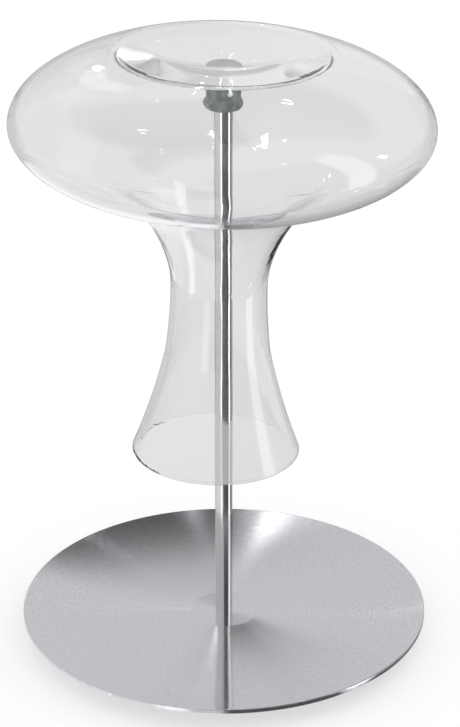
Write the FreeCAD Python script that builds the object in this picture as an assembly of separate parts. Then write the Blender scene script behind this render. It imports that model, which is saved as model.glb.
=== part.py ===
import FreeCAD, Part
import math
import os

os.makedirs("parts", exist_ok=True)

# Decanter drying stand, with its glass decanter hung upside down on the post.
# Millimetres, +Z up.  The origin is on the table, on the axis of the post.
# The user stands on the -Y side, with +X to the right.

# ---- base dish: one spun sheet with a flat hub and a wide shallow sweep ----
DISH_RADIUS = 112.5
DISH_SHEET = 2.5
DISH_EDGE_ROUND = 0.5
HUB_RADIUS = 19.0
VALLEY_RADIUS = 50.0
SWEEP_RADIUS = 300.0

# ---- rubber feet under the dish ----
FOOT_NAMES = ("front_right", "back_right", "back_left", "front_left")
FIRST_FOOT_ANGLE = -45.0
FOOT_CIRCLE_RADIUS = 80.0
FOOT_DIAMETER = 12.0
FOOT_HEIGHT = 6.0
FOOT_EDGE_ROUND = 0.8

# ---- post: a thin tube with a plug pressed into each end ----
POST_DIAMETER = 9.5
POST_WALL = 1.0
POST_LENGTH = 298.0
PLUG_CLEARANCE = 0.01
FOOT_PLUG_LENGTH = 18.0
HEAD_PLUG_LENGTH = 16.0

# ---- screw and washers that hold the post to the dish ----
SCREW_DIAMETER = 5.0
SCREW_LENGTH = 16.0
SCREW_HEAD_DIAMETER = 9.5
SCREW_HEAD_HEIGHT = 2.75
SCREW_FACE_DIAMETER = 5.0
SCREW_TIP_CHAMFER = 0.6
SCREW_HEX = 3.0
SCREW_HEX_DEPTH = 1.7
THREAD_CLEARANCE = 0.05
SCREW_HOLE_CLEARANCE = 0.2
WASHER_DIAMETER = 10.0
WASHER_THICKNESS = 1.0
SPRING_WASHER_DIAMETER = 9.2
SPRING_WASHER_THICKNESS = 1.2
SPRING_WASHER_SLIT = 0.8
SPRING_WASHER_SLIT_ANGLE = 20.0

# ---- rubber tip, moulded round the flange of a pin that turns in the post ----
TIP_TOP_RADIUS = 9.2
TIP_TOP_ROUND = 1.5
TIP_WAIST_RADIUS = 8.8
TIP_WAIST_DEPTH = 8.6
TIP_BULGE_RADIUS = 10.2
TIP_BULGE_DEPTH = 11.6
TIP_SOLE_RADIUS = 8.2
TIP_HEIGHT = 14.2
TIP_OVERLAP = 1.5
TIP_CLEARANCE = 0.3
PIN_DIAMETER = 4.0
PIN_REACH = 12.0
PIN_END_GAP = 0.1
PIN_FLANGE_DIAMETER = 12.0
PIN_FLANGE_THICKNESS = 1.5
PIN_FLANGE_COVER = 2.0
PIN_CLEARANCE = 0.05

# ---- decanter: heights run along its own axis, up from its mouth ----
MOUTH_RADIUS = 45.6
FLARE_HEIGHT = 57.0
FLARE_RADIUS = 28.4
FLARE_HOLLOW = 1.3
NECK_HEIGHT = 96.0
NECK_RADIUS = 25.8
NECK_PULL = 20.0
SHOULDER_RADIUS = 62.0
SHOULDER_PULL = 21.0
BODY_RADIUS = 110.8
BODY_HEIGHT = 185.3
BODY_LOWER_DEPTH = 40.0
BODY_UPPER_DEPTH = 44.5
PUNT_FLOOR_HEIGHT = 220.7
PUNT_GLASS = 12.3
PUNT_OUTER_SPHERE = 560.0
PUNT_INNER_SPHERE = 125.0
CREST_ROUND = 16.0
TROUGH_ROUND = 7.0
GLASS_WALL = 2.2

# ---- how the decanter hangs on the tip ----
HANG_GAP = 0.2
HANG_LEAN = 1.2


def at(radius, height):
    return FreeCAD.Vector(radius, 0, height)


def line(start, end):
    return Part.makeLine(at(*start), at(*end))


def arc(start, middle, end):
    return Part.Arc(at(*start), at(*middle), at(*end)).toShape()


def bezier(points):
    curve = Part.BezierCurve()
    curve.setPoles([at(*point) for point in points])
    return curve.toShape()


def quarter_ellipse(width, depth, height, near):
    """Elliptic arc about (0, height), from its full width in to the radius near."""
    ellipse = Part.Ellipse(at(width, height), at(0, height + depth), at(0, height))
    return Part.ArcOfEllipse(ellipse, 0, math.acos(near / width)).toShape()


def spin(edges):
    """Solid of revolution about Z of a closed outline in the XZ plane."""
    face = Part.Face(Part.Wire(Part.__sortEdges__(edges)))
    return face.revolve(FreeCAD.Vector(0, 0, 0), FreeCAD.Vector(0, 0, 1), 360)


def disc(radius, bottom, thickness):
    return Part.makeCylinder(radius, thickness, FreeCAD.Vector(0, 0, bottom))


def tube(inner, outer, bottom, length):
    return disc(outer, bottom, length).cut(disc(inner, bottom, length))


def circles(solid, radius, low, high):
    """Round edges of a solid near one radius, between two heights."""
    found = []
    for edge in solid.Edges:
        box = edge.BoundBox
        round_edge = abs(box.XMax - radius) < 0.05 and abs(box.YMax - radius) < 0.05
        if round_edge and box.ZLength < 0.001 and low < box.ZMin < high:
            found.append(edge)
    return found


def save(name, solid):
    shape = solid.Solids[0]
    if not shape.isValid() or shape.Volume <= 0:
        raise RuntimeError(name + " is not a sound solid")
    shape.exportStep("parts/" + name + ".step")


# ---- heights that follow from the sizes above ----

under_radius = SWEEP_RADIUS + DISH_SHEET
sweep_centre = FOOT_HEIGHT + math.sqrt(under_radius ** 2 - (FOOT_CIRCLE_RADIUS - VALLEY_RADIUS) ** 2)


def dish_height(radius, sweep):
    """Height of the dish's upper or lower surface at a radius outside the hub."""
    return sweep_centre - math.sqrt(sweep ** 2 - (radius - VALLEY_RADIUS) ** 2)


hub_top = dish_height(HUB_RADIUS, SWEEP_RADIUS)
hub_under = hub_top - DISH_SHEET
rim_top = dish_height(DISH_RADIUS, SWEEP_RADIUS)
rim_under = dish_height(DISH_RADIUS, under_radius)

post_radius = POST_DIAMETER / 2
post_bore = post_radius - POST_WALL
post_top = hub_top + POST_LENGTH
tip_sole = post_top - TIP_OVERLAP
tip_top = tip_sole + TIP_HEIGHT

screw_seat = hub_under - WASHER_THICKNESS - SPRING_WASHER_THICKNESS
screw_bottom = screw_seat - SCREW_HEAD_HEIGHT
screw_hole = SCREW_DIAMETER / 2 + SCREW_HOLE_CLEARANCE


def make_dish():
    turn_in = math.sqrt(under_radius ** 2 - (sweep_centre - hub_under) ** 2)
    under_crease = VALLEY_RADIUS - turn_in
    upper_middle = (VALLEY_RADIUS, sweep_centre - SWEEP_RADIUS)
    lower_middle = (VALLEY_RADIUS, sweep_centre - under_radius)
    edges = [
        line((screw_hole, hub_top), (HUB_RADIUS, hub_top)),
        arc((HUB_RADIUS, hub_top), upper_middle, (DISH_RADIUS, rim_top)),
        line((DISH_RADIUS, rim_top), (DISH_RADIUS, rim_under)),
        arc((DISH_RADIUS, rim_under), lower_middle, (under_crease, hub_under)),
        line((under_crease, hub_under), (screw_hole, hub_under)),
        line((screw_hole, hub_under), (screw_hole, hub_top)),
    ]
    dish = spin(edges)
    return dish.makeFillet(DISH_EDGE_ROUND, circles(dish, DISH_RADIUS, 0, rim_top + 1))


def make_foot(angle, dish):
    blank = disc(FOOT_DIAMETER / 2, 0, FOOT_HEIGHT + DISH_SHEET)
    blank = blank.makeFillet(FOOT_EDGE_ROUND, circles(blank, FOOT_DIAMETER / 2, -1, 1))
    blank.translate(FreeCAD.Vector(FOOT_CIRCLE_RADIUS, 0, 0))
    blank.rotate(FreeCAD.Vector(0, 0, 0), FreeCAD.Vector(0, 0, 1), angle)
    pieces = blank.cut(dish).Solids
    return min(pieces, key=lambda piece: piece.BoundBox.ZMin)


def make_post():
    return tube(post_bore, post_radius, hub_top, POST_LENGTH)


def make_foot_plug():
    thread = SCREW_DIAMETER / 2 + THREAD_CLEARANCE
    return tube(thread, post_bore - PLUG_CLEARANCE, hub_top, FOOT_PLUG_LENGTH)


def make_head_plug():
    bore_depth = PIN_REACH - TIP_CLEARANCE + PIN_END_GAP
    plug = disc(post_bore - PLUG_CLEARANCE, post_top - HEAD_PLUG_LENGTH, HEAD_PLUG_LENGTH)
    return plug.cut(disc(PIN_DIAMETER / 2 + PIN_CLEARANCE, post_top - bore_depth, bore_depth))


def make_washer():
    return tube(screw_hole, WASHER_DIAMETER / 2, hub_under - WASHER_THICKNESS, WASHER_THICKNESS)


def make_spring_washer():
    outer = SPRING_WASHER_DIAMETER / 2
    washer = tube(screw_hole, outer, screw_seat, SPRING_WASHER_THICKNESS)
    corner = FreeCAD.Vector(0, -SPRING_WASHER_SLIT / 2, -SPRING_WASHER_THICKNESS)
    slit = Part.makeBox(2 * outer, SPRING_WASHER_SLIT, 4 * SPRING_WASHER_THICKNESS, corner)
    slit.translate(FreeCAD.Vector(0, 0, -SPRING_WASHER_THICKNESS))
    slit.rotate(FreeCAD.Vector(0, 0, 0), FreeCAD.Vector(1, 0, 0), SPRING_WASHER_SLIT_ANGLE)
    slit.translate(FreeCAD.Vector(0, 0, screw_seat + SPRING_WASHER_THICKNESS / 2))
    return washer.cut(slit)


def make_screw():
    shank = SCREW_DIAMETER / 2
    head = SCREW_HEAD_DIAMETER / 2
    face = SCREW_FACE_DIAMETER / 2
    end = screw_seat + SCREW_LENGTH
    dome = (face + 0.75 * (head - face), screw_bottom + 0.35 * SCREW_HEAD_HEIGHT)
    edges = [
        line((0, screw_bottom), (0, end)),
        line((0, end), (shank - SCREW_TIP_CHAMFER, end)),
        line((shank - SCREW_TIP_CHAMFER, end), (shank, end - SCREW_TIP_CHAMFER)),
        line((shank, end - SCREW_TIP_CHAMFER), (shank, screw_seat)),
        line((shank, screw_seat), (head, screw_seat)),
        arc((head, screw_seat), dome, (face, screw_bottom)),
        line((face, screw_bottom), (0, screw_bottom)),
    ]
    corner_radius = SCREW_HEX / math.sqrt(3)
    corners = []
    for step in range(7):
        turn = math.radians(60 * step)
        x = corner_radius * math.cos(turn)
        y = corner_radius * math.sin(turn)
        corners.append(FreeCAD.Vector(x, y, screw_bottom))
    socket = Part.Face(Part.makePolygon(corners)).extrude(FreeCAD.Vector(0, 0, SCREW_HEX_DEPTH))
    return spin(edges).cut(socket)


def make_pin():
    flange_bottom = tip_top - PIN_FLANGE_COVER - PIN_FLANGE_THICKNESS
    bottom = post_top + TIP_CLEARANCE - PIN_REACH
    shank = disc(PIN_DIAMETER / 2, bottom, flange_bottom - bottom)
    return shank.fuse(disc(PIN_FLANGE_DIAMETER / 2, flange_bottom, PIN_FLANGE_THICKNESS))


def make_tip(pin):
    shoulder = (TIP_TOP_RADIUS, tip_top - TIP_TOP_ROUND)
    bend = TIP_TOP_ROUND * (1 - math.sqrt(0.5))
    waist = (TIP_WAIST_RADIUS, tip_top - TIP_WAIST_DEPTH)
    bulge = (TIP_BULGE_RADIUS, tip_top - TIP_BULGE_DEPTH)
    socket = post_radius + TIP_CLEARANCE
    ceiling = post_top + TIP_CLEARANCE
    edges = [
        line((0, tip_top), (TIP_TOP_RADIUS - TIP_TOP_ROUND, tip_top)),
        arc((TIP_TOP_RADIUS - TIP_TOP_ROUND, tip_top), (TIP_TOP_RADIUS - bend, tip_top - bend), shoulder),
        line(shoulder, waist),
        arc(waist, bulge, (TIP_SOLE_RADIUS, tip_sole)),
        line((TIP_SOLE_RADIUS, tip_sole), (socket, tip_sole)),
        line((socket, tip_sole), (socket, ceiling)),
        line((socket, ceiling), (0, ceiling)),
        line((0, ceiling), (0, tip_top)),
    ]
    return spin(edges).cut(pin)


# ---- decanter ----

def ellipse_height(radius, inset, depth):
    """Height of one half of the bowl at a radius; a negative depth is the half below."""
    reach = BODY_RADIUS - inset
    return BODY_HEIGHT + depth * math.sqrt(1 - (radius / reach) ** 2)


def punt_height(radius, inset):
    """Height of the punt's outer surface at a radius, or of its inner one where there is an inset."""
    floor = PUNT_FLOOR_HEIGHT
    sphere = PUNT_OUTER_SPHERE
    if inset:
        floor = PUNT_FLOOR_HEIGHT - PUNT_GLASS
        sphere = PUNT_INNER_SPHERE
    return floor + sphere - math.sqrt(sphere ** 2 - radius ** 2)


def crest_radius(inset):
    """Radius where the bowl's upper half meets the punt, found by halving."""
    low = 0.0
    high = BODY_RADIUS - inset
    for step in range(60):
        middle = (low + high) / 2
        bowl = ellipse_height(middle, inset, BODY_UPPER_DEPTH - inset)
        if punt_height(middle, inset) < bowl:
            low = middle
        else:
            high = middle
    return low


def wall_outline(inset):
    """One side of the glass, from the mouth up over the bowl and in to the axis."""
    mouth = (MOUTH_RADIUS - inset, 0)
    flare = (FLARE_RADIUS - inset, FLARE_HEIGHT)
    neck = (NECK_RADIUS - inset, NECK_HEIGHT)
    hollow = ((mouth[0] + flare[0]) / 2 - FLARE_HOLLOW, FLARE_HEIGHT / 2)
    rise = NECK_HEIGHT - FLARE_HEIGHT
    waist_radius = (rise ** 2 + (flare[0] - neck[0]) ** 2) / (2 * (flare[0] - neck[0]))
    waist_offset = waist_radius - math.sqrt(waist_radius ** 2 - (rise / 2) ** 2)
    waist = (neck[0] + waist_offset, NECK_HEIGHT - rise / 2)

    reach = BODY_RADIUS - inset
    lower = inset - BODY_LOWER_DEPTH
    upper = BODY_UPPER_DEPTH - inset
    shoulder = (SHOULDER_RADIUS, ellipse_height(SHOULDER_RADIUS, inset, lower))
    slope = math.atan(-lower * SHOULDER_RADIUS / reach ** 2 / math.sqrt(1 - (SHOULDER_RADIUS / reach) ** 2))
    pull = (shoulder[0] - SHOULDER_PULL * math.cos(slope), shoulder[1] - SHOULDER_PULL * math.sin(slope))

    crest = crest_radius(inset)
    half = crest / 2
    return [
        arc(mouth, hollow, flare),
        arc(flare, waist, neck),
        bezier([neck, (neck[0], neck[1] + NECK_PULL), pull, shoulder]),
        quarter_ellipse(reach, lower, BODY_HEIGHT, SHOULDER_RADIUS),
        quarter_ellipse(reach, upper, BODY_HEIGHT, crest),
        arc((crest, punt_height(crest, inset)), (half, punt_height(half, inset)), (0, punt_height(0, inset))),
    ]


def make_decanter():
    outer = wall_outline(0)
    inner = wall_outline(GLASS_WALL)
    lip = MOUTH_RADIUS - GLASS_WALL / 2
    rim = arc((MOUTH_RADIUS, 0), (lip, -GLASS_WALL / 2), (MOUTH_RADIUS - GLASS_WALL, 0))
    core = line((0, PUNT_FLOOR_HEIGHT), (0, PUNT_FLOOR_HEIGHT - PUNT_GLASS))
    glass = spin(outer + inner + [rim, core])
    crest = circles(glass, crest_radius(0), BODY_HEIGHT, 2 * BODY_HEIGHT)
    glass = glass.makeFillet(CREST_ROUND, crest)
    trough = circles(glass, crest_radius(GLASS_WALL), BODY_HEIGHT, 2 * BODY_HEIGHT)
    glass = glass.makeFillet(TROUGH_ROUND, trough)
    contact = tip_top + HANG_GAP
    glass.translate(FreeCAD.Vector(0, 0, contact - PUNT_FLOOR_HEIGHT + PUNT_GLASS))
    glass.rotate(FreeCAD.Vector(0, 0, contact), FreeCAD.Vector(0, 1, 0), HANG_LEAN)
    return glass


dish = make_dish()
save("base_dish", dish)
for number, name in enumerate(FOOT_NAMES):
    save("foot_" + name, make_foot(FIRST_FOOT_ANGLE + 360 / len(FOOT_NAMES) * number, dish))
save("post_tube", make_post())
save("post_foot_plug", make_foot_plug())
save("post_head_plug", make_head_plug())
save("flat_washer", make_washer())
save("spring_washer", make_spring_washer())
save("base_screw", make_screw())
tip_pin = make_pin()
save("tip_pin", tip_pin)
save("rubber_tip", make_tip(tip_pin))
save("decanter", make_decanter())
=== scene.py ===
import math

import bpy
from mathutils import Matrix, Vector

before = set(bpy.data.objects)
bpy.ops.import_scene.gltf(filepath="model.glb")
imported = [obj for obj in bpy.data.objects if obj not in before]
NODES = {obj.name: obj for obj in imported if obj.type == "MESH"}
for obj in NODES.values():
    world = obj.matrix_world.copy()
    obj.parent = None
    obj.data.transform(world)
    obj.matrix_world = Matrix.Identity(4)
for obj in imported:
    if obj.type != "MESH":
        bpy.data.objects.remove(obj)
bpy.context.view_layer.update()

# ---- the camera, in metres ----
CAMERA_PLACE = Vector((0.0, -1.1883, 0.6986))
CAMERA_AIM = Vector((0.0034, 0.0, 0.1607))
CAMERA_LENS = 120.0

# ---- materials: a pair is the values at the two ends of the grain ----
SPUN_COLOURS = ((0.545, 0.545, 0.573), (0.725, 0.725, 0.762))
SPUN_ROUGHNESS = (0.15, 0.20)
SPUN_ROUGHNESS_DRIFT = 0.02
RINGS_PER_METRE = 1100
SCRATCHES_PER_METRE = 1000.0
SCRATCHES_PER_RADIAN = 28.0
BRUSHED_ACROSS = 0.25

POST_COLOURS = ((0.70, 0.69, 0.68), (0.77, 0.76, 0.75))
POST_ROUGHNESS = (0.10, 0.17)
ZINC_COLOURS = ((0.48, 0.48, 0.49), (0.62, 0.62, 0.63))
ALUMINIUM_COLOURS = ((0.66, 0.66, 0.67), (0.78, 0.78, 0.79))

TIP_COLOURS = ((0.13, 0.17, 0.155), (0.52, 0.58, 0.555))
FOOT_COLOURS = ((0.025, 0.025, 0.027), (0.05, 0.05, 0.052))
# The paler colour painted on rubber faces that look up, between these slopes: painted light from above.
PAINTED_TOP_LIGHT_COLOUR = (0.60, 0.635, 0.62, 1)
PAINTED_TOP_LIGHT_SLOPES = (0.6, 0.98)

GLASS_TINT = (0.978, 0.98, 0.99, 1)
GLASS_IOR = 1.5
GLASS_WAVES_PER_METRE = 22

# ---- the studio: bearings run clockwise from +Y as seen from above, in degrees ----
FLOOR_SIZE = 24.0
FLOOR_TONES = (0.60, 0.62)
FLOOR_GLOW = 0.45
DAYLIGHT = 0.97
INTERNAL_REFLECTIONS = 48

# Light that has passed through the glass meets a greyer sky, and a floor that gives up this much of
# its glow near the object and all of it far away.
GLASS_DAYLIGHT = 0.80
GLASS_FLOOR_LOSS = 0.3
GLASS_FLOOR_RADII = (1.2, 2.6)

# The room that shows in reflections, with a dark corner above the horizon.  Heights are sines of elevation.
ROOM = 0.82
CORNER = 0.05
CORNER_LEFT = (-3.5, -1)
CORNER_RIGHT = (80, 55)
CORNER_HEIGHT = (0.56, 0.68)
HORIZON = (-0.05, 0.05)
CEILING = (0.7, 0.85)

# The table that metal mirrors below the horizon: bearing from -180 to 180, and brightness.
TABLE_BANDS = [
    (-180, 0.10), (-163, 0.12), (-157, 2.2), (-146, 2.2), (-142, 0.85), (-112, 0.80), (-60, 0.78),
    (-48, 0.48), (50, 0.48), (80, 0.20), (92, 0.20), (95, 2.6), (111, 2.6), (114, 0.10), (140, 0.07), (180, 0.10),
]
# Close under the object the table has only a right side and a left side.
TABLE_NEAR_HEIGHT = (-0.465, -0.485)
TABLE_RIGHT = 0.12
TABLE_LEFT = 1.15

# Reflections between the walls of the glass are evened out by this share, towards this grey.
WALL_DEPTHS = (0.5, 3.5)
WALL_SHARE = 0.75
WALL_GREY = 0.76

# Panes that show as small highlights in the glass: bearing, elevation, half width, half height, strength.
PANES = [
    (18, 49, 0.8, 0.4, 14), (67, 70, 0.9, 0.5, 14), (131, 55, 0.9, 0.4, 14), (-144, 22, 0.4, 0.9, 12),
    (96, -38, 0.5, 2.0, 10), (-112, -33, 0.4, 1.5, 8), (-15, 24, 0.5, 1.5, 9),
]
# Lamps that draw the streaks on the dish: name, place, direction of the length, width, length, watts.
STRIP_LAMPS = [
    ("strip_bright", (-0.072, 1.316, 1.504), (-0.0405, -0.169, 0.148), 0.012, 0.44, 0.17),
    ("strip_weak", (0.066, 1.18, 1.614), (0.03, -0.169, 0.148), 0.014, 0.16, 0.06),
]


# ---- node helpers ----

def new_material(name):
    material = bpy.data.materials.new(name)
    material.use_nodes = True
    tree = material.node_tree
    return material, tree, tree.nodes["Principled BSDF"]


def add(tree, kind, **values):
    node = tree.nodes.new(kind)
    for key, value in values.items():
        setattr(node, key, value)
    return node


def feed(tree, socket, value):
    """Sets a socket to a number, or links another socket to it."""
    if isinstance(value, (int, float)):
        socket.default_value = value
    else:
        tree.links.new(value, socket)


def calculate(tree, operation, *values):
    node = add(tree, "ShaderNodeMath", operation=operation)
    for socket, value in zip(node.inputs, values):
        feed(tree, socket, value)
    return node.outputs[0]


def multiply(tree, first, second):
    return calculate(tree, "MULTIPLY", first, second)


def blend(tree, share, first, second):
    node = add(tree, "ShaderNodeMix", data_type="FLOAT")
    for key, value in (("Factor", share), ("A", first), ("B", second)):
        feed(tree, node.inputs[key], value)
    return node.outputs["Result"]


def combine(tree, x, y, z):
    node = add(tree, "ShaderNodeCombineXYZ")
    for socket, value in zip(node.inputs, (x, y, z)):
        feed(tree, socket, value)
    return node.outputs[0]


def separate(tree, vector):
    node = add(tree, "ShaderNodeSeparateXYZ")
    tree.links.new(vector, node.inputs[0])
    return node.outputs


def vector_dot(tree, vector, axis):
    node = add(tree, "ShaderNodeVectorMath", operation="DOT_PRODUCT")
    tree.links.new(vector, node.inputs[0])
    node.inputs[1].default_value = axis
    return node.outputs["Value"]


def noise(tree, vector, scale, detail, roughness=0.5):
    node = add(tree, "ShaderNodeTexNoise")
    node.inputs["Scale"].default_value = scale
    node.inputs["Detail"].default_value = detail
    node.inputs["Roughness"].default_value = roughness
    tree.links.new(vector, node.inputs["Vector"])
    return node.outputs["Fac"]


def map_range(tree, value, **ends):
    node = add(tree, "ShaderNodeMapRange")
    for key, end in ends.items():
        node.inputs[key.replace("_", " ").title()].default_value = end
    tree.links.new(value, node.inputs["Value"])
    return node


def spread(tree, value, low, high):
    """Maps a 0 to 1 value onto low to high."""
    return map_range(tree, value, to_min=low, to_max=high).outputs["Result"]


def smooth_step(tree, value, start, end):
    """Rises softly from 0 at start to 1 at end."""
    node = map_range(tree, value, from_min=start, from_max=end)
    node.interpolation_type = "SMOOTHSTEP"
    return node.outputs["Result"]


def ramp(tree, value, stops):
    """Colour ramp; each stop is a place and a grey or an RGB colour."""
    node = add(tree, "ShaderNodeValToRGB")
    elements = node.color_ramp.elements
    while len(elements) < len(stops):
        elements.new(0.5)
    for element, (place, colour) in zip(elements, stops):
        element.position = place
        if isinstance(colour, (int, float)):
            colour = (colour, colour, colour)
        element.color = (*colour, 1.0)
    tree.links.new(value, node.inputs["Fac"])
    return node.outputs["Color"]


def tones(tree, value, colours, low=0.3, high=0.7):
    """From the first colour where the value is low to the second where it is high."""
    return ramp(tree, value, [(low, colours[0]), (high, colours[1])])


def bump(tree, shader, height, distance, strength):
    node = add(tree, "ShaderNodeBump")
    node.inputs["Strength"].default_value = strength
    node.inputs["Distance"].default_value = distance
    tree.links.new(height, node.inputs["Height"])
    tree.links.new(node.outputs["Normal"], shader.inputs["Normal"])


def object_place(tree):
    return add(tree, "ShaderNodeTexCoord").outputs["Object"]


def polar(tree):
    """Radius, turn and height about the post's axis, from the object's own coordinates."""
    x, y, z = separate(tree, object_place(tree))
    radius = calculate(tree, "SQRT", calculate(tree, "ADD", multiply(tree, x, x), multiply(tree, y, y)))
    return radius, calculate(tree, "ARCTAN2", y, x), z


# ---- materials ----

def spun_steel():
    """Stainless sheet brushed on the lathe: fine rings, and a sheen stretched across them."""
    material, tree, shader = new_material("spun_steel")
    radius, turn, _ = polar(tree)
    rings = noise(tree, combine(tree, radius, 0, 0), RINGS_PER_METRE, 4.0, 0.7)
    scratches = noise(tree, combine(tree, multiply(tree, radius, SCRATCHES_PER_METRE),
                                    multiply(tree, turn, SCRATCHES_PER_RADIAN), 0), 1.0, 3.0, 0.7)
    patches = noise(tree, combine(tree, multiply(tree, radius, 60.0), multiply(tree, turn, 1.2), 0), 12, 2.0)
    grain = calculate(tree, "ADD", multiply(tree, rings, 0.4), multiply(tree, scratches, 0.6))
    tree.links.new(tones(tree, grain, SPUN_COLOURS), shader.inputs["Base Color"])
    drift = spread(tree, patches, -SPUN_ROUGHNESS_DRIFT, SPUN_ROUGHNESS_DRIFT)
    tree.links.new(calculate(tree, "ADD", drift, spread(tree, grain, *SPUN_ROUGHNESS)), shader.inputs["Roughness"])
    shader.inputs["Metallic"].default_value = 1.0
    shader.inputs["Anisotropic"].default_value = 1.0
    shader.inputs["Anisotropic Rotation"].default_value = BRUSHED_ACROSS
    tangent = add(tree, "ShaderNodeTangent", direction_type="RADIAL", axis="Z")
    tree.links.new(tangent.outputs[0], shader.inputs["Tangent"])
    bump(tree, shader, grain, 0.00002, 0.25)
    return material


def polished_steel():
    """The post: drawn tube, polished, with faint lines along its length."""
    material, tree, shader = new_material("polished_steel")
    _, turn, height = polar(tree)
    lines = noise(tree, combine(tree, multiply(tree, turn, 9.0), multiply(tree, height, 9.0), 0), 3.0, 3.0)
    tree.links.new(tones(tree, lines, POST_COLOURS), shader.inputs["Base Color"])
    tree.links.new(spread(tree, lines, *POST_ROUGHNESS), shader.inputs["Roughness"])
    shader.inputs["Metallic"].default_value = 1.0
    bump(tree, shader, lines, 0.00001, 0.2)
    return material


def plain_metal(name, colours, roughness, scale):
    material, tree, shader = new_material(name)
    grain = noise(tree, object_place(tree), scale, 4.0)
    tree.links.new(tones(tree, grain, colours), shader.inputs["Base Color"])
    tree.links.new(spread(tree, grain, roughness - 0.06, roughness + 0.06), shader.inputs["Roughness"])
    shader.inputs["Metallic"].default_value = 1.0
    bump(tree, shader, grain, 0.00003, 0.3)
    return material


def rubber(name, colours, roughness):
    """Moulded rubber with a fine matt grain and a mottled bloom, with faces that look up painted paler as painted
    light from above.
    """
    material, tree, shader = new_material(name)
    place = object_place(tree)
    grain = noise(tree, place, 1400, 3.0)
    bloom = noise(tree, place, 240, 3.0)
    mottle = calculate(tree, "ADD", multiply(tree, grain, 0.5), multiply(tree, bloom, 0.5))
    # Faces that look up are painted paler: painted light from above, mixed over the rubber's own colour.
    normal = separate(tree, add(tree, "ShaderNodeNewGeometry").outputs["Normal"])
    painted_top_light = add(tree, "ShaderNodeMix", data_type="RGBA")
    factor, own_colour, lit_top_colour = (painted_top_light.inputs[index] for index in (0, 6, 7))
    tree.links.new(smooth_step(tree, normal[2], *PAINTED_TOP_LIGHT_SLOPES), factor)
    tree.links.new(tones(tree, mottle, colours, 0.35, 0.65), own_colour)
    lit_top_colour.default_value = PAINTED_TOP_LIGHT_COLOUR
    tree.links.new(painted_top_light.outputs[2], shader.inputs["Base Color"])
    tree.links.new(spread(tree, bloom, roughness - 0.08, roughness + 0.08), shader.inputs["Roughness"])
    bump(tree, shader, grain, 0.00006, 0.4)
    return material


def clear_glass():
    """Blown glass: clear, barely tinted, and very slightly uneven."""
    material, tree, shader = new_material("clear_glass")
    shader.inputs["Base Color"].default_value = GLASS_TINT
    shader.inputs["Roughness"].default_value = 0.0
    shader.inputs["IOR"].default_value = GLASS_IOR
    shader.inputs["Transmission Weight"].default_value = 1.0
    waves = noise(tree, object_place(tree), GLASS_WAVES_PER_METRE, 2.0)
    bump(tree, shader, waves, 0.0006, 0.25)
    return material


def give(material, *names):
    for name in names:
        for slot in NODES[name].material_slots:
            slot.material = material


def dress_nodes():
    give(spun_steel(), "base_dish")
    give(polished_steel(), "post_tube")
    give(plain_metal("zinc_screw", ZINC_COLOURS, 0.3, 1800),
         "base_screw", "flat_washer", "spring_washer", "tip_pin")
    give(plain_metal("turned_aluminium", ALUMINIUM_COLOURS, 0.28, 1200), "post_foot_plug", "post_head_plug")
    give(rubber("tip_rubber", TIP_COLOURS, 0.45), "rubber_tip")
    give(rubber("foot_rubber", FOOT_COLOURS, 0.6), *(name for name in NODES if name.startswith("foot_")))
    give(clear_glass(), "decanter")


# ---- studio ----

def make_camera():
    data = bpy.data.cameras.new("camera")
    data.lens = CAMERA_LENS
    camera = bpy.data.objects.new("camera", data)
    camera.location = CAMERA_PLACE
    camera.rotation_euler = (CAMERA_AIM - CAMERA_PLACE).to_track_quat("-Z", "Y").to_euler()
    bpy.context.scene.collection.objects.link(camera)
    bpy.context.scene.camera = camera


def bounces(tree, kind):
    """How many reflections ("Glossy Depth") or passes through glass ("Transmission Depth") came before."""
    return add(tree, "ShaderNodeLightPath").outputs[kind]


def after_reflection(tree):
    """1 for light that has been mirrored at least once, else 0."""
    return calculate(tree, "GREATER_THAN", bounces(tree, "Glossy Depth"), 0.5)


def after_glass(tree):
    """1 for light that has passed through glass at least once, else 0."""
    return calculate(tree, "GREATER_THAN", bounces(tree, "Transmission Depth"), 0.5)


def make_floor():
    """A pale floor with a faint glow, which lets light through once it has been mirrored."""
    mesh = bpy.data.meshes.new("floor")
    half = FLOOR_SIZE / 2
    corners = [(-half, -half, 0), (half, -half, 0), (half, half, 0), (-half, half, 0)]
    mesh.from_pydata(corners, [], [(0, 1, 2, 3)])
    floor = bpy.data.objects.new("floor", mesh)
    bpy.context.scene.collection.objects.link(floor)
    material, tree, shader = new_material("floor_white")
    tone = noise(tree, object_place(tree), 3, 2.0)
    tree.links.new(tones(tree, tone, FLOOR_TONES, 0.0, 1.0), shader.inputs["Base Color"])
    shader.inputs["Roughness"].default_value = 0.9
    shader.inputs["Specular IOR Level"].default_value = 0.1
    shader.inputs["Emission Color"].default_value = (1, 1, 1, 1)
    radius, _, _ = polar(tree)
    loss = spread(tree, smooth_step(tree, radius, *GLASS_FLOOR_RADII), GLASS_FLOOR_LOSS, 1.0)
    shade = multiply(tree, after_glass(tree), loss)
    tree.links.new(spread(tree, shade, FLOOR_GLOW, 0.0), shader.inputs["Emission Strength"])
    through = add(tree, "ShaderNodeBsdfTransparent")
    mix = add(tree, "ShaderNodeMixShader")
    tree.links.new(after_reflection(tree), mix.inputs["Fac"])
    tree.links.new(shader.outputs[0], mix.inputs[1])
    tree.links.new(through.outputs[0], mix.inputs[2])
    tree.links.new(mix.outputs[0], tree.nodes["Material Output"].inputs["Surface"])
    mesh.materials.append(material)


def strip_lamp(name, place, along, width, length, watts):
    """A long lamp that faces the origin, with its length laid along a direction."""
    data = bpy.data.lights.new(name, "AREA")
    data.shape = "RECTANGLE"
    data.size = width
    data.size_y = length
    data.energy = watts
    light = bpy.data.objects.new(name, data)
    back = Vector(place).normalized()
    side = Vector(along).cross(back).normalized()
    light.location = place
    light.rotation_euler = Matrix((side, back.cross(side), back)).transposed().to_euler()
    light.visible_diffuse = False
    bpy.context.scene.collection.objects.link(light)


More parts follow.
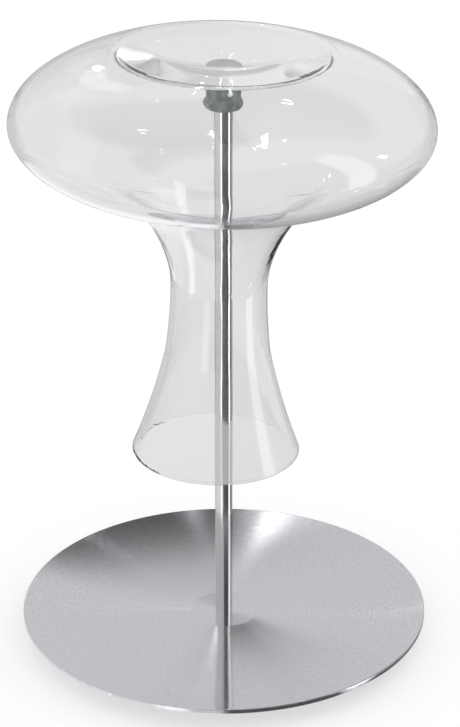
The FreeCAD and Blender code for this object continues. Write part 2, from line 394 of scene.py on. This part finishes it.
def pane(tree, direction, bearing, elevation, half_width, half_height, strength):
    """A soft-edged bright rectangle on the sky."""
    turn, lift = math.radians(bearing), math.radians(elevation)
    centre = Vector((math.sin(turn) * math.cos(lift), math.cos(turn) * math.cos(lift), math.sin(lift)))
    side = Vector((math.cos(turn), -math.sin(turn), 0))
    product = smooth_step(tree, vector_dot(tree, direction, centre), 0.0, 0.1)
    for axis, half in ((side, half_width), (side.cross(centre), half_height)):
        reach = math.sin(math.radians(half))
        off = calculate(tree, "ABSOLUTE", vector_dot(tree, direction, axis))
        product = multiply(tree, product, smooth_step(tree, off, reach * 1.1, reach * 0.8))
    return multiply(tree, product, strength)


def table_light(tree, bearing, x, z):
    turn = map_range(tree, bearing, from_min=-math.pi, from_max=math.pi).outputs["Result"]
    bands = ramp(tree, turn, [((place + 180) / 360, grey) for place, grey in TABLE_BANDS])
    near = spread(tree, smooth_step(tree, x, 0.05, -0.05), TABLE_RIGHT, TABLE_LEFT)
    return blend(tree, smooth_step(tree, z, *TABLE_NEAR_HEIGHT), bands, near)


def room_light(tree, bearing, z):
    sides = [smooth_step(tree, bearing, *map(math.radians, edge)) for edge in (CORNER_LEFT, CORNER_RIGHT)]
    corner = multiply(tree, multiply(tree, *sides), smooth_step(tree, z, *CORNER_HEIGHT))
    return spread(tree, corner, ROOM, CORNER)


def make_world():
    """Even white daylight, and for reflections a pale room with a dark corner and a banded table."""
    world = bpy.data.worlds.new("studio")
    bpy.context.scene.world = world
    world.use_nodes = True
    tree = world.node_tree
    direction = add(tree, "ShaderNodeTexCoord").outputs["Generated"]
    x, y, z = separate(tree, direction)
    bearing = calculate(tree, "ARCTAN2", x, y)

    # The room starts at the horizon, but in front on the right the table reaches up to the ceiling.
    not_front_right = calculate(tree, "MAXIMUM", smooth_step(tree, y, -0.15, 0.05),
                                smooth_step(tree, x, 0.02, -0.06))
    above = calculate(tree, "MAXIMUM", multiply(tree, smooth_step(tree, z, *HORIZON), not_front_right),
                      smooth_step(tree, z, *CEILING))
    seen = blend(tree, above, table_light(tree, bearing, x, z), room_light(tree, bearing, z))

    depth = bounces(tree, "Transmission Depth")
    in_walls = multiply(tree, calculate(tree, "GREATER_THAN", depth, WALL_DEPTHS[0]),
                        calculate(tree, "LESS_THAN", depth, WALL_DEPTHS[1]))
    total = blend(tree, multiply(tree, in_walls, WALL_SHARE), seen, WALL_GREY)
    for values in PANES:
        total = calculate(tree, "ADD", total, pane(tree, direction, *values))

    daylight = spread(tree, after_glass(tree), DAYLIGHT, GLASS_DAYLIGHT)
    background = tree.nodes["Background"]
    tree.links.new(blend(tree, after_reflection(tree), daylight, total), background.inputs["Strength"])
    background.inputs["Color"].default_value = (1, 1, 1, 1)


def set_rendering():
    """Enough bounces for the thick glass, and plain display colours."""
    scene = bpy.context.scene
    scene.cycles.max_bounces = INTERNAL_REFLECTIONS
    scene.cycles.glossy_bounces = INTERNAL_REFLECTIONS
    scene.cycles.transmission_bounces = INTERNAL_REFLECTIONS
    scene.view_settings.view_transform = "Standard"
    scene.view_settings.look = "None"


make_camera()
make_floor()
make_world()
dress_nodes()
for lamp in STRIP_LAMPS:
    strip_lamp(*lamp)
set_rendering()
